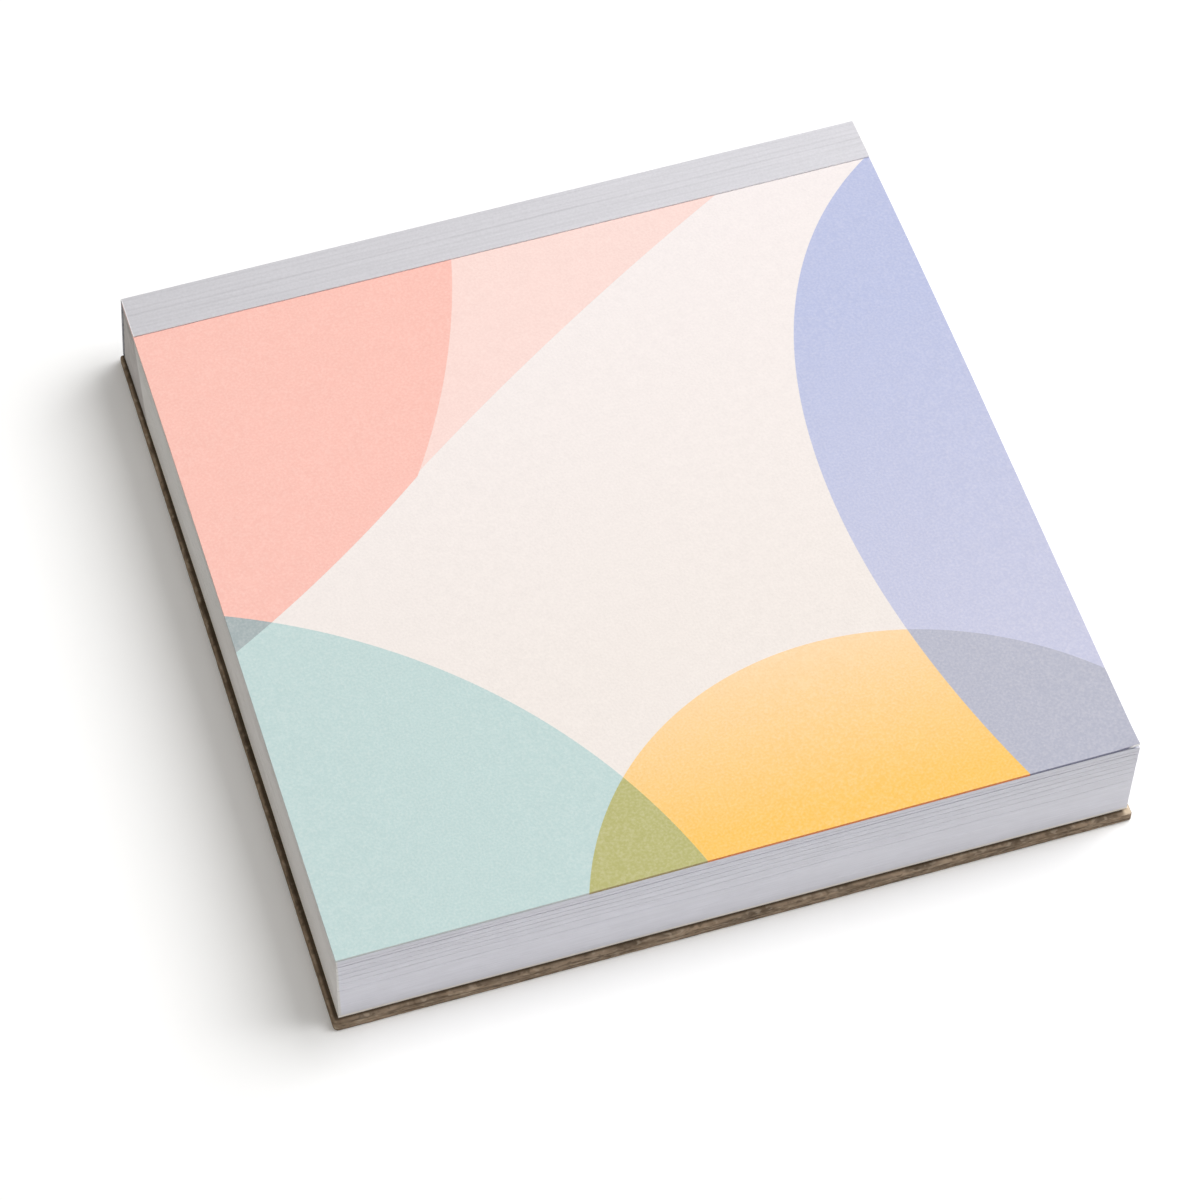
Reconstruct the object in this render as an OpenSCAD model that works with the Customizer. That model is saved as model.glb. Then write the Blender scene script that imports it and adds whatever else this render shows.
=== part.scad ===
// Glue-bound notepad lying on its greyboard back. A pile of note sheets and a printed
// top sheet are glued along one edge, the head, and a folded paper strip covers the glue.
// Millimetres. +X runs along the head, +Y points towards the head, +Z is up.
// The origin is the middle of the footprint, on the underside of the board.

/* [Sheets] */
// Width of a note sheet, along the head
sheet_w = 100; // [70:1:160]
// Depth of a note sheet, from the loose front edge to the head
sheet_d = 104.8; // [70:0.1:220]
// Height of the pile of note sheets at its loose front edge
pile_h = 14.4; // [8:0.1:30]
// How much thinner the glue and the strip hold the pile at the head
head_press = 1.3; // [0:0.1:3]
// Depth over which the pile thins towards the head
press_d = 52; // [20:1:60]
// How far the top of the pile leans forward of its bottom
lean = 0.6; // [0:0.1:0.8]
// Number of page groups that stand apart along the cut edges
page_groups = 7; // [2:1:12]
// Width of the small ledge between two page groups
ledge = 0.12; // [0.04:0.01:0.3]

/* [Top sheet] */
// Thickness of the printed top sheet
cover_t = 0.3; // [0.15:0.05:0.8]

/* [Binding] */
// Thickness of the glue film on the head
glue_t = 0.3; // [0.15:0.05:1]
// Thickness of the paper strip
strip_t = 0.2; // [0.1:0.05:0.6]
// Width of the strip's lap on the printed sheet
strip_lap = 6.4; // [3:0.1:20]
// Height of the foot of the glue and the strip above the table
strip_foot = 0.3; // [0.1:0.05:0.8]

/* [Backing board] */
// Thickness of the greyboard
board_t = 1.6; // [1:0.1:3.5]
// How far the board stands out past the sheets on the left
board_over_left = 0.9; // [0:0.1:3]
// How far the board stands out past the sheets on the right
board_over_right = 0.5; // [0:0.1:3]
// How far the board stands out past the sheets at the front
board_over_front = 0.9; // [0:0.1:3]
// Radius of the board's worn corners, seen from above
board_corner_r = 0.8; // [0.6:0.1:4]
// Radius of the board's soft edges
board_edge_r = 0.35; // [0.1:0.05:0.45]

/* [Print] */
// Radius of the mint disc at the front left
mint_r = 85.2; // [40:0.1:120]
// Place of the mint disc, from the sheet's front left corner
mint_at = [-35.6, -25.7]; // [-90:0.1:150]
// Half widths of the yellow ellipse at the front
yellow_half = [45.1, 41.2]; // [20:0.1:80]
// Place of the yellow ellipse, from the sheet's front left corner
yellow_at = [71.1, -17.6]; // [-60:0.1:160]
// Tilt of the yellow ellipse
yellow_tilt = -53.4; // [-90:0.1:90]
// Half widths of the blue ellipse on the right
blue_half = [73.7, 120.3]; // [40:0.1:180]
// Place of the blue ellipse, from the sheet's front left corner
blue_at = [168.8, 0.3]; // [-60:0.1:260]
// Tilt of the blue ellipse
blue_tilt = 35.4; // [-90:0.1:90]
// Radius of the coral field's right edge
coral_right_r = 111.6; // [60:0.1:160]
// Centre of the coral field's right edge
coral_right_at = [-66, 124.5]; // [-160:0.1:200]
// Radius of the coral field's lower edge
coral_low_r = 191.5; // [120:0.1:300]
// Centre of the coral field's lower edge
coral_low_at = [-92.6, 213.7]; // [-200:0.1:300]
// Radius of the wide cream disc that bounds the pink field
cream_r = 490.9; // [300:0.1:900]
// Centre of the wide cream disc
cream_at = [322.5, -327.5]; // [-500:0.1:500]

/* [Hidden] */

CREAM = "#f7eee9";
CORAL = "#fbc5b8";
PINK = "#fadfd8";
MINT = "#c5dad5";
YELLOW = "#fdd38e";
BLUE = "#c8cce4";
CORAL_MINT = "#b0b9b9";
MINT_YELLOW = "#c1be84";
YELLOW_BLUE = "#bcbcc9";

arc_fn = 96;
eps = 0.01;
seam = 0.05;
bend_steps = 12;
ledge_pattern = [0, 1, 0.25, 0.8, 0.1, 0.65, 0];

total_w = board_over_left + sheet_w + board_over_right;
total_d = board_over_front + sheet_d + glue_t + strip_t;
sheet_left = -total_w / 2 + board_over_left;
sheet_front = -total_d / 2 + board_over_front;
head_y = sheet_front + sheet_d;
board_d = board_over_front + sheet_d;
bend_y = head_y - press_d;
pile_steps = concat([sheet_front], [for (i = [0:bend_steps]) bend_y + press_d * i / bend_steps]);

// Height of the top of the pile above the table at depth y: level, then a gentle arc down
function pile_top(y) = board_t + pile_h - head_press * pow(max(0, y - bend_y) / press_d, 2);
// A point of the side view at depth y, at the share k of the pile's height
function pile_point(y, k) = [y - lean * k, board_t + (pile_top(y) - board_t) * k];
// A point of the side view at depth y, the height h above the pile
function over_pile(y, h) = [y - lean, pile_top(y) + h];
function reversed(list) = [for (i = [len(list) - 1:-1:0]) list[i]];

// Draws a side view, given as [depth, height] points, along the width of the sheets
module along_width(x0, width) {
    translate([x0, 0, 0]) rotate([90, 0, 90]) linear_extrude(width) children();
}

// A rectangle from the origin, with true arcs at its corners
module soft_rectangle(w, h, r) {
    translate([r, 0]) square([w - 2 * r, h]);
    translate([0, r]) square([w, h - 2 * r]);
    for (x = [r, w - r], y = [r, h - r]) translate([x, y]) circle(r, $fn = arc_fn);
}

// Greyboard with soft edges on all sides: three soft rectangles, crossed
module backing_board() {
    color("#8a7a66") translate([-total_w / 2, -total_d / 2, 0]) intersection() {
        linear_extrude(board_t) soft_rectangle(total_w, board_d, board_corner_r);
        rotate([90, 0, 90]) linear_extrude(total_w) soft_rectangle(board_d, board_t, board_edge_r);
        translate([0, board_d, 0]) rotate([90, 0, 0])
            linear_extrude(board_d) soft_rectangle(total_w, board_t, board_edge_r);
    }
}

// One group of pages between the shares k0 and k1 of the pile, its cut edges set in
module page_group(k0, k1, inset) {
    ys = concat([sheet_front + inset], [for (i = [1:len(pile_steps) - 1]) pile_steps[i]]);
    side = concat([for (y = ys) pile_point(y, k0)], reversed([for (y = ys) pile_point(y, k1)]));
    along_width(sheet_left + inset, sheet_w - 2 * inset) polygon(side);
}

// The note sheets: one glued pile, with fine ledges where groups of pages stand apart
module note_sheets() {
    color("#e4e1e4") for (g = [0:page_groups - 1])
        page_group(g / page_groups, (g + 1) / page_groups, ledge * ledge_pattern[g % len(ledge_pattern)]);
}

// The printed sheet without its colours, bent as the pile under it
module top_sheet_blank() {
    under = [for (y = pile_steps) over_pile(y, 0)];
    over = [for (y = pile_steps) over_pile(y, cover_t)];
    along_width(sheet_left, sheet_w) polygon(concat(under, reversed(over)));
}

module disc(at, r) {
    translate(at) circle(r, $fn = arc_fn);
}

module tilted_ellipse(at, half, tilt) {
    translate(at) rotate(tilt) scale(half) circle(1, $fn = arc_fn);
}

// Each field of colour can grow by a seam, so that it laps its neighbour and leaves no hole
module mint_field(grow = 0) {
    disc(mint_at, mint_r + grow);
}

module yellow_field(grow = 0) {
    tilted_ellipse(yellow_at, yellow_half + [grow, grow], yellow_tilt);
}

module blue_field(grow = 0) {
    tilted_ellipse(blue_at, blue_half + [grow, grow], blue_tilt);
}

module coral_field(grow = 0) {
    intersection() {
        disc(coral_right_at, coral_right_r + grow);
        disc(coral_low_at, coral_low_r + grow);
    }
}

// The back of the sheet, outside the wide cream disc and the disc of the coral field's right edge
module pink_field(grow = 0) {
    difference() {
        square([sheet_w, sheet_d]);
        disc(cream_at, cream_r - grow);
        disc(coral_right_at, coral_right_r - grow);
    }
}

// The part of the printed sheet that lies under a flat outline
module inked() {
    intersection() {
        top_sheet_blank();
        translate([sheet_left, sheet_front - lean, board_t])
            linear_extrude(pile_h + 2 * cover_t) children();
    }
}

// The part of the first outline that the second one leaves
module without() {
    difference() {
        children(0);
        for (i = [1:$children - 1]) children(i);
    }
}

// One sheet of card, shown in the colours of its overlapping discs
module printed_top_sheet() {
    color(CREAM) inked() without() {
        square([sheet_w, sheet_d]);
        pink_field();
        coral_field();
        mint_field();
        yellow_field();
        blue_field();
    }
    color(PINK) inked() without() {
        pink_field(seam);
        coral_field();
        mint_field();
        yellow_field();
        blue_field();
    }
    color(CORAL) inked() without() {
        coral_field(seam);
        mint_field();
    }
    color(CORAL_MINT) inked() intersection() {
        coral_field(seam);
        mint_field(seam);
    }
    color(MINT) inked() without() {
        mint_field(seam);
        coral_field();
        yellow_field();
    }
    color(MINT_YELLOW) inked() intersection() {
        mint_field(seam);
        yellow_field(seam);
    }
    color(YELLOW) inked() without() {
        yellow_field(seam);
        mint_field();
        blue_field();
    }
    color(YELLOW_BLUE) inked() intersection() {
        yellow_field(seam);
        blue_field(seam);
    }
    color(BLUE) inked() without() {
        blue_field(seam);
        yellow_field();
    }
}

// Padding glue brushed over the head: it joins the edges of the board and of every sheet
module binding_glue() {
    inner = [[head_y, strip_foot], pile_point(head_y, 0), pile_point(head_y, 1), over_pile(head_y, cover_t)];
    outer = reversed([for (p = inner) p + [glue_t, 0]]);
    color("#d9d2c4") along_width(sheet_left, sheet_w) polygon(concat(inner, outer));
}

// Paper strip folded over the head, from the printed sheet down to the board's edge
module binding_strip() {
    lap_steps = concat(
        [head_y - strip_lap],
        [for (y = pile_steps) if (y > head_y - strip_lap + eps) y]
    );
    under = [for (y = lap_steps) over_pile(y, cover_t)];
    glue_top = over_pile(head_y, cover_t) + [glue_t, 0];
    glue_knee = [head_y + glue_t, board_t];
    glue_foot = [head_y + glue_t, strip_foot];
    inner = concat(under, [glue_top, glue_knee, glue_foot]);
    fold = [for (a = [0:15:90]) glue_top + strip_t * [sin(a), cos(a)]];
    over = concat([for (y = lap_steps) over_pile(y, cover_t + strip_t)], fold);
    outer = concat(over, [glue_knee + [strip_t, 0], glue_foot + [strip_t, 0]]);
    color("#dcd9dd") along_width(sheet_left, sheet_w) polygon(concat(inner, reversed(outer)));
}

backing_board();
note_sheets();
printed_top_sheet();
binding_glue();
binding_strip();
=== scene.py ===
# %% [markdown]
# # A glue-bound notepad
# The notepad is five pieces: a greyboard back, a pile of note sheets, a printed top sheet, the
# dried glue that joins their edges along the head, and a paper strip folded over that glue.
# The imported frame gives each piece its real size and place, so this lesson only dresses them.
# Lengths are in millimetres until a mesh is made, because paper is easier to think of that way.
# %% Load the frame
import math

import bmesh
import bpy
import numpy as np
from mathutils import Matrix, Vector


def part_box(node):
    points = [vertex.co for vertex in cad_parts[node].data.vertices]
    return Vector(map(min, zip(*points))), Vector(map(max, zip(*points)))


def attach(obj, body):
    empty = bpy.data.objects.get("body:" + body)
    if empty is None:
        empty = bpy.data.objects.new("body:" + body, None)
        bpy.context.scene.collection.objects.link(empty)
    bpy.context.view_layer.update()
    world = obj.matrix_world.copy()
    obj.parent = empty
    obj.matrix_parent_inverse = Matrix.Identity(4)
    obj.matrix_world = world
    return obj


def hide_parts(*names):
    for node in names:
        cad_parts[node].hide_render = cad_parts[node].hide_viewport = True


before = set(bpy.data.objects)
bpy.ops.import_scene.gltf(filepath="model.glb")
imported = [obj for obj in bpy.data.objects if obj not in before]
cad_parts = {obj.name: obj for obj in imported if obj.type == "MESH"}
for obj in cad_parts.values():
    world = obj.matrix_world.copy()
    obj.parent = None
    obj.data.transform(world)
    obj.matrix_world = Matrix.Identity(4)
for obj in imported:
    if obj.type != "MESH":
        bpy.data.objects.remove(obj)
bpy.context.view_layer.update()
MM = 0.001
print("parts in the frame:", ", ".join(sorted(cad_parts)))

# %% [markdown]
# ## Read the sizes from the frame
# Every size below comes from the box of a part. The head is the bound edge, at the back. The pile
# leans forward a little, and the binding presses it thinner at the head, so its top is level at
# the front and bends gently down towards the glue.
# %% Sizes of the pad
def box_mm(node):
    """Lowest and highest corner of a part of the frame, in millimetres."""
    low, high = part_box(node)
    return low / MM, high / MM


board_low, board_high = box_mm("backing_board")
pile_low, pile_high = box_mm("note_sheets")
card_low, card_high = box_mm("printed_top_sheet")
glue_low, glue_high = box_mm("binding_glue")
strip_low, strip_high = box_mm("binding_strip")

LEFT, RIGHT = card_low.x, card_high.x
HEAD_Y = pile_high.y
LEAN = pile_high.y - card_high.y
FRONT_Y = card_low.y + LEAN
PILE_H = pile_high.z - pile_low.z
HEAD_PRESS = pile_high.z - card_low.z
CARD_T = card_high.z - pile_high.z
PRESS_DEPTH = 52.0
print(f"sheets {RIGHT - LEFT:.1f} x {HEAD_Y - FRONT_Y:.1f} mm, pile {PILE_H:.1f} mm high")
print(f"the head is {HEAD_PRESS:.1f} mm thinner, and the top leans {LEAN:.1f} mm forward")


def pile_top(y):
    """Height of the top of the pile at depth y: level, then an arc down to the head."""
    run = np.clip((y - (HEAD_Y - PRESS_DEPTH)) / PRESS_DEPTH, 0, None)
    return pile_high.z - HEAD_PRESS * run**2


# %% [markdown]
# ## Let the pile settle
# No pad is a perfect block. This one is about a millimetre thinner on its left than on its right,
# its top has slid a touch to the right, and at the head its foot stands further back and further
# left than its top. One function moves every point by its share of the pile's height, so all the
# pieces settle together and stay in contact.
# %% How the pile has settled
SETTLE_LEFT, SETTLE_RIGHT, SETTLE_LEFT_HEAD = -0.8, 0.2, -0.25
SIDE_LEAN, FOOT_BACK, FOOT_LEFT = 0.12, 1.05, 0.3


def settled(points_mm, slides_left):
    """Points moved as the pile under them has settled. The board doesn't slide to the left."""
    points = np.array(points_mm, float)
    share = np.clip((points[:, 2] - pile_low.z) / PILE_H, 0, None)
    leftness = (RIGHT - points[:, 0]) / (RIGHT - LEFT)
    near_head = np.clip((points[:, 1] - (HEAD_Y - PRESS_DEPTH)) / PRESS_DEPTH, 0, None) ** 2
    at_foot = near_head * np.clip(1 - share, 0, 1)
    points[:, 2] += share * (SETTLE_RIGHT + (SETTLE_LEFT - SETTLE_RIGHT) * leftness)
    points[:, 2] += share * SETTLE_LEFT_HEAD * leftness * near_head
    points[:, 0] += share * SIDE_LEAN - slides_left * FOOT_LEFT * leftness * at_foot
    points[:, 1] += FOOT_BACK * at_foot
    return points


print(f"the left side is {SETTLE_RIGHT - SETTLE_LEFT:.1f} mm thinner than the right")
print(f"the foot of the head stands {FOOT_BACK:.1f} mm further back than its top")

# %% [markdown]
# ## Helpers for meshes
# Each piece is worked out as a table of points, row by row, and joined up with four-sided faces.
# One function makes the mesh, turns its faces outwards and says how big it came out. Paper is
# never quite straight, so `ripple` adds up a few long waves whose phases are seeded: it gives the
# same gentle unevenness at every run. The points of a row crowd towards its ends, because the
# corners need them most.
# %% Mesh helpers
UNEVEN = 0.3
CROWDING = 0.8


def ripple(t, wavelengths, seed):
    """A smooth wave between -1 and 1 along t, made of a few wavelengths."""
    phases = np.random.default_rng(seed).random(len(wavelengths))
    waves = [np.sin(2 * math.pi * (t / w + p)) for w, p in zip(wavelengths, phases)]
    return sum(waves) / len(waves)


def uneven(t, wavelengths, seed):
    """A factor that wanders slowly along t, between 1 - 2 * UNEVEN and 1."""
    return 1 - UNEVEN + UNEVEN * ripple(t, wavelengths, seed)


def crowded_ends(low, high, count):
    """Numbers from low to high that lie closer together near both ends."""
    even = np.linspace(0, 1, count)
    return low + (high - low) * (even - CROWDING * np.sin(2 * math.pi * even) / (2 * math.pi))


def grid_faces(rows, columns, start=0, closed=False):
    """Four-sided faces over a table of points. closed joins the last column to the first."""
    r, c = np.meshgrid(np.arange(rows - 1), np.arange(columns - (not closed)), indexing="ij")
    a, b = r * columns + c, r * columns + (c + 1) % columns
    return (np.stack([a, b, b + columns, a + columns], -1).reshape(-1, 4) + start).tolist()


def add_piece(name, points_mm, faces, materials, node, material_of_face=None, soft_below_deg=35):
    """Makes one closed mesh, which stands for a part of the frame and rides on its body."""
    mesh = bpy.data.meshes.new(name)
    mesh.from_pydata((settled(points_mm, node != "backing_board") * MM).tolist(), [], faces)
    for material in materials:
        mesh.materials.append(material)
    if material_of_face is not None:
        mesh.polygons.foreach_set("material_index", material_of_face)
    shape = bmesh.new()
    shape.from_mesh(mesh)
    bmesh.ops.recalc_face_normals(shape, faces=shape.faces)
    open_edges = sum(not edge.is_manifold for edge in shape.edges)
    for edge in shape.edges:
        edge.smooth = edge.calc_face_angle(0) < math.radians(soft_below_deg)
    for face in shape.faces:
        face.smooth = True
    shape.to_mesh(mesh)
    shape.free()
    piece = bpy.data.objects.new(name, mesh)
    bpy.context.scene.collection.objects.link(piece)
    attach(piece, "root")
    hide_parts(node)
    size = " x ".join(f"{side / MM:.2f}" for side in piece.dimensions)
    print(f"{name}: {len(mesh.polygons)} faces, {open_edges} open edges, {size} mm")
    return piece


# %% [markdown]
# ## Helpers for materials
# Colours are written as the hex values that a picture editor shows, and one function turns them
# into the linear values that Blender works in. A second function adds a node with its settings
# and links, so that a material reads as a short list of steps. Patterns are given their size in
# millimetres, so they keep their scale whatever the size of the mesh.
# %% Material helpers
NOISE_SPAN = (0.3, 0.7)


def hex_colour(text):
    """An sRGB hex colour such as #f7eee9 as linear red, green, blue and alpha."""
    channels = [int(text[i:i + 2], 16) / 255 for i in (1, 3, 5)]
    linear = [c / 12.92 if c <= 0.04045 else ((c + 0.055) / 1.055) ** 2.4 for c in channels]
    return (*linear, 1.0)


def add(tree, kind, inputs=None, **settings):
    """Adds a node. inputs maps a socket's name or number to a value, or to an output to link."""
    node = tree.nodes.new(kind)
    for name, value in settings.items():
        setattr(node, name, value)
    for socket, value in (inputs or {}).items():
        if isinstance(value, bpy.types.NodeSocket):
            tree.links.new(value, node.inputs[socket])
        else:
            node.inputs[socket].default_value = value
    return node


def new_material(name, roughness, specular):
    """A material with its shader. Returns the material, its node tree and the shader."""
    material = bpy.data.materials.new(name)
    material.use_nodes = True
    shader = material.node_tree.nodes["Principled BSDF"]
    shader.inputs["Roughness"].default_value = roughness
    shader.inputs["Specular IOR Level"].default_value = specular
    return material, material.node_tree, shader


def place_mm(tree, stretch=(1, 1, 1)):
    """A point of the object in millimetres, with each axis stretched."""
    place = add(tree, "ShaderNodeTexCoord").outputs["Object"]
    scale = [s / MM for s in stretch]
    return add(tree, "ShaderNodeVectorMath", {0: place, 1: scale}, operation="MULTIPLY").outputs[0]


def grain(tree, size_mm, stretch=(1, 1, 1), detail=2.0):
    """Noise around 0.5, whose blots are about size_mm across."""
    inputs = {"Vector": place_mm(tree, stretch), "Scale": 1 / size_mm, "Detail": detail}
    return add(tree, "ShaderNodeTexNoise", inputs).outputs["Fac"]


def spread(tree, value, from_low, from_high, to_low, to_high):
    """Moves a number from one range to another, and stops at its ends."""
    inputs = {"Value": value, "From Min": from_low, "From Max": from_high,
              "To Min": to_low, "To Max": to_high}
    return add(tree, "ShaderNodeMapRange", inputs).outputs["Result"]


def math_node(tree, operation, *values):
    """One sum on numbers."""
    return add(tree, "ShaderNodeMath", dict(enumerate(values)), operation=operation).outputs[0]


def shade(tree, colour, factor):
    """Makes a colour lighter or darker by a number near 1."""
    return add(tree, "ShaderNodeHueSaturation", {"Color": colour, "Value": factor}).outputs["Color"]


def mottled(tree, colour, noise, darkest, palest):
    """Shades a colour by a noise, whose values nearly all lie within NOISE_SPAN."""
    return shade(tree, colour, spread(tree, noise, *NOISE_SPAN, darkest, palest))


def lay_over(tree, cover, below, above):
    """Lays one colour over another where cover is 1."""
    return add(tree, "ShaderNodeMix", {0: cover, 6: below, 7: above}, data_type="RGBA").outputs[2]


def emboss(tree, shader, height, depth_mm):
    """Gives the surface a fine relief, depth_mm deep where height runs from 0 to 1."""
    relief = add(tree, "ShaderNodeBump", {"Height": height, "Distance": depth_mm * MM})
    tree.links.new(relief.outputs["Normal"], shader.inputs["Normal"])


# %% [markdown]
# ## The print: plain discs of translucent ink
# The top sheet is uncoated card, printed with large plain discs that overlap. Each disc is a
# circle or a tilted ellipse, in millimetres from the sheet's front left corner, so the print is a
# chain of simple tests: does this point lie inside the disc or not. Image textures could do the
# same, but tests stay sharp at any distance and are easy to change.
# %% Shapes of the printed fields
MINT_DISC = ((-35.6, -25.7), 85.1)
CORAL_RIGHT_DISC = ((-66.0, 124.5), 111.6)
CORAL_LOW_DISC = ((-92.6, 213.7), 191.67)
CREAM_DISC = ((322.5, -327.5), 490.82)
YELLOW_ELLIPSE = ((71.1, -17.6), (44.95, 41.05), -53.4)
BLUE_ELLIPSE = ((168.8, 0.3), (73.7, 120.3), 35.4)


def sheet_place(tree):
    """A point of the printed face, in millimetres from the sheet's front left corner."""
    corner = (LEFT + SIDE_LEAN, FRONT_Y - LEAN, 0)
    moved = add(tree, "ShaderNodeVectorMath", {0: place_mm(tree), 1: corner}, operation="SUBTRACT")
    flat = add(tree, "ShaderNodeVectorMath", {0: moved.outputs[0], 1: (1, 1, 0)}, operation="MULTIPLY")
    return flat.outputs[0]


def in_disc(tree, place, disc):
    """1 inside the disc, 0 outside."""
    (x, y), radius = disc
    away = add(tree, "ShaderNodeVectorMath", {0: place, 1: (x, y, 0)}, operation="DISTANCE")
    return math_node(tree, "LESS_THAN", away.outputs["Value"], radius)


def in_ellipse(tree, place, ellipse):
    """1 inside the tilted ellipse, 0 outside: it is turned level and squeezed into a unit disc."""
    (x, y), (half_a, half_b), tilt = ellipse
    moved = add(tree, "ShaderNodeVectorMath", {0: place, 1: (x, y, 0)}, operation="SUBTRACT")
    turn = {"Vector": moved.outputs[0], "Angle": -math.radians(tilt)}
    level = add(tree, "ShaderNodeVectorRotate", turn, rotation_type="Z_AXIS")
    squeeze = {0: level.outputs[0], 1: (1 / half_a, 1 / half_b, 0)}
    unit = add(tree, "ShaderNodeVectorMath", squeeze, operation="MULTIPLY")
    length = add(tree, "ShaderNodeVectorMath", {0: unit.outputs[0]}, operation="LENGTH")
    return math_node(tree, "LESS_THAN", length.outputs["Value"], 1.0)


# %% [markdown]
# Where two inks overlap they give a third, greyer colour, so each overlap has a hex value of its
# own. The cream is painted paler towards the head, as painted light that falls off towards the
# front. The yellow pales towards the head, and the blue greys towards the front. The cut edge of
# the card drinks more ink and lies in shade, so it has a darker set of the colours.
# %% Inks, and the order in which they are laid
FACE_INKS = {
    "cream": "#f3ebe6", "cream_lit_head": "#f8f0ef", "pink": "#fcded7", "coral": "#fdc4b8",
    "mint": "#c3dad9", "coral_mint": "#a8b4b6", "yellow": "#ffcb67", "yellow_pale": "#fedcae",
    "mint_yellow": "#bcba7b", "blue": "#cacce4", "blue_deep": "#bec5e6", "yellow_blue": "#b9bbcb",
}
EDGE_INKS = {
    "cream": "#d6cec9", "cream_lit_head": "#d6cec9", "pink": "#d6c1ba", "coral": "#d8a79b",
    "mint": "#c6cbcd", "coral_mint": "#949c9c", "yellow": "#e0834c", "yellow_pale": "#e08a50",
    "mint_yellow": "#a89668", "blue": "#8486a0", "blue_deep": "#8486a0", "yellow_blue": "#7c7e96",
}
CREAM_LIGHT_FALLOFF = (30, 95)
YELLOW_FADE = (3, 27)
BLUE_FADE = (20, 75)


def printed_colour(tree, hexes):
    """The colour of the card at each point, one ink laid over the next."""
    inks = {name: hex_colour(text) for name, text in hexes.items()}
    place = sheet_place(tree)
    depth = add(tree, "ShaderNodeSeparateXYZ", {0: place}).outputs["Y"]
    cream, mint = in_disc(tree, place, CREAM_DISC), in_disc(tree, place, MINT_DISC)
    right, low = in_disc(tree, place, CORAL_RIGHT_DISC), in_disc(tree, place, CORAL_LOW_DISC)
    yellow, blue = in_ellipse(tree, place, YELLOW_ELLIPSE), in_ellipse(tree, place, BLUE_ELLIPSE)
    coral = math_node(tree, "MULTIPLY", right, low)
    # Painted light: the cream turns paler towards the head, as the light falls off towards the front.
    cream_falloff = spread(tree, depth, *CREAM_LIGHT_FALLOFF, 0, 1)
    yellow_fade = spread(tree, depth, *YELLOW_FADE, 0, 1)
    blue_fade = spread(tree, depth, *BLUE_FADE, 0, 1)
    cream_ink = lay_over(tree, cream_falloff, inks["cream"], inks["cream_lit_head"])
    yellow_ink = lay_over(tree, yellow_fade, inks["yellow"], inks["yellow_pale"])
    blue_ink = lay_over(tree, blue_fade, inks["blue"], inks["blue_deep"])
    pale = math_node(tree, "MAXIMUM", cream, right)
    colour = lay_over(tree, pale, inks["pink"], cream_ink)
    colour = lay_over(tree, coral, colour, inks["coral"])
    mint_ink = lay_over(tree, coral, inks["mint"], inks["coral_mint"])
    colour = lay_over(tree, mint, colour, mint_ink)
    yellow_ink = lay_over(tree, mint, yellow_ink, inks["mint_yellow"])
    colour = lay_over(tree, yellow, colour, yellow_ink)
    blue_ink = lay_over(tree, yellow, blue_ink, inks["yellow_blue"])
    return lay_over(tree, blue, colour, blue_ink)


# %% [markdown]
# Uncoated card is matt and a little mottled: its fibres clump into blots a few tenths of a
# millimetre across, and they take the ink unevenly. So the bare card shows through a little where
# a fine noise is high, which mottles the deep inks more than the pale ones. The same noise also
# raises the surface by a few hundredths of a millimetre. The cut edge is painted white at the front
# right corner, where the sheet lifts: a painted highlight.
# %% Uncoated card, printed
FIBRE_CLUMP = 0.32
CLOUD = 2.0
THIN_INK_FROM, THIN_INK_TO, THIN_INK = 0.4, 0.8, 0.18
CLOUD_TONE = 0.01
TIP_HIGHLIGHT = (1.5, 0.8)


def uncoated_card(name, inks, blotches, tip_highlight):
    """Printed card. blotches says how mottled it is; the last argument is 1 where the tip gets a painted
    highlight.
    """
    material, tree, shader = new_material(name, roughness=0.88, specular=0.2)
    fibres = grain(tree, FIBRE_CLUMP, detail=3.0)
    clouds = grain(tree, CLOUD)
    thin = spread(tree, fibres, THIN_INK_FROM, THIN_INK_TO, 0, THIN_INK)
    colour = lay_over(tree, thin, printed_colour(tree, inks), hex_colour(inks["cream"]))
    colour = mottled(tree, colour, fibres, 1 - blotches, 1 + blotches)
    colour = mottled(tree, colour, clouds, 1 - CLOUD_TONE, 1 + CLOUD_TONE)
    # Painted highlight: the tip of the cut edge at the front right corner is painted white.
    ends = {0: sheet_place(tree), 1: (RIGHT - LEFT, 0, 0)}
    from_tip = add(tree, "ShaderNodeVectorMath", ends, operation="DISTANCE")
    lit_tip = spread(tree, from_tip.outputs["Value"], *TIP_HIGHLIGHT, 0, tip_highlight)
    colour = lay_over(tree, lit_tip, colour, hex_colour("#ffffff"))
    tree.links.new(colour, shader.inputs["Base Color"])
    emboss(tree, shader, fibres, depth_mm=0.02)
    return material


card_face = uncoated_card("uncoated_card_printed", FACE_INKS, blotches=0.03, tip_highlight=0)
card_edge = uncoated_card("uncoated_card_cut_edge", EDGE_INKS, blotches=0.05, tip_highlight=1)
print("inks on the face:", len(FACE_INKS))

# %% [markdown]
# ## The printed top sheet
# The sheet is a thin slab that follows the pile. A plane with a Solidify modifier would do, but
# working out both skins lets the front right corner curl off the pile, as the real one does,
# while the other edges stay down. A long wave of a few hundredths of a millimetre keeps the
# sheet from looking like glass. The card beds a tenth of a millimetre into the soft pile, so its
# cut edge shows a little thicker than the sheet in the frame.
# %% Printed top sheet
CARD_COLUMNS, CARD_ROWS = 120, 110
CURL_REACH, CURL_HEIGHT = 4.0, 0.24
SHEET_WAVE, WAVE_SLANT, CARD_SINK = 0.03, 0.6, 0.1
LOOSE_RUN = 30.0


def looseness(y):
    """0 at the head, where the glue holds the sheets, rising to 1 at LOOSE_RUN from it."""
    return np.clip((HEAD_Y - y) / LOOSE_RUN, 0, 1)


def front_corner_nearness(x, y, reach):
    """1 at the sheet's front right corner, falling to 0 at reach from it."""
    return np.clip(1 - np.hypot(RIGHT - x, y - FRONT_Y) / reach, 0, 1) ** 2


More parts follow.
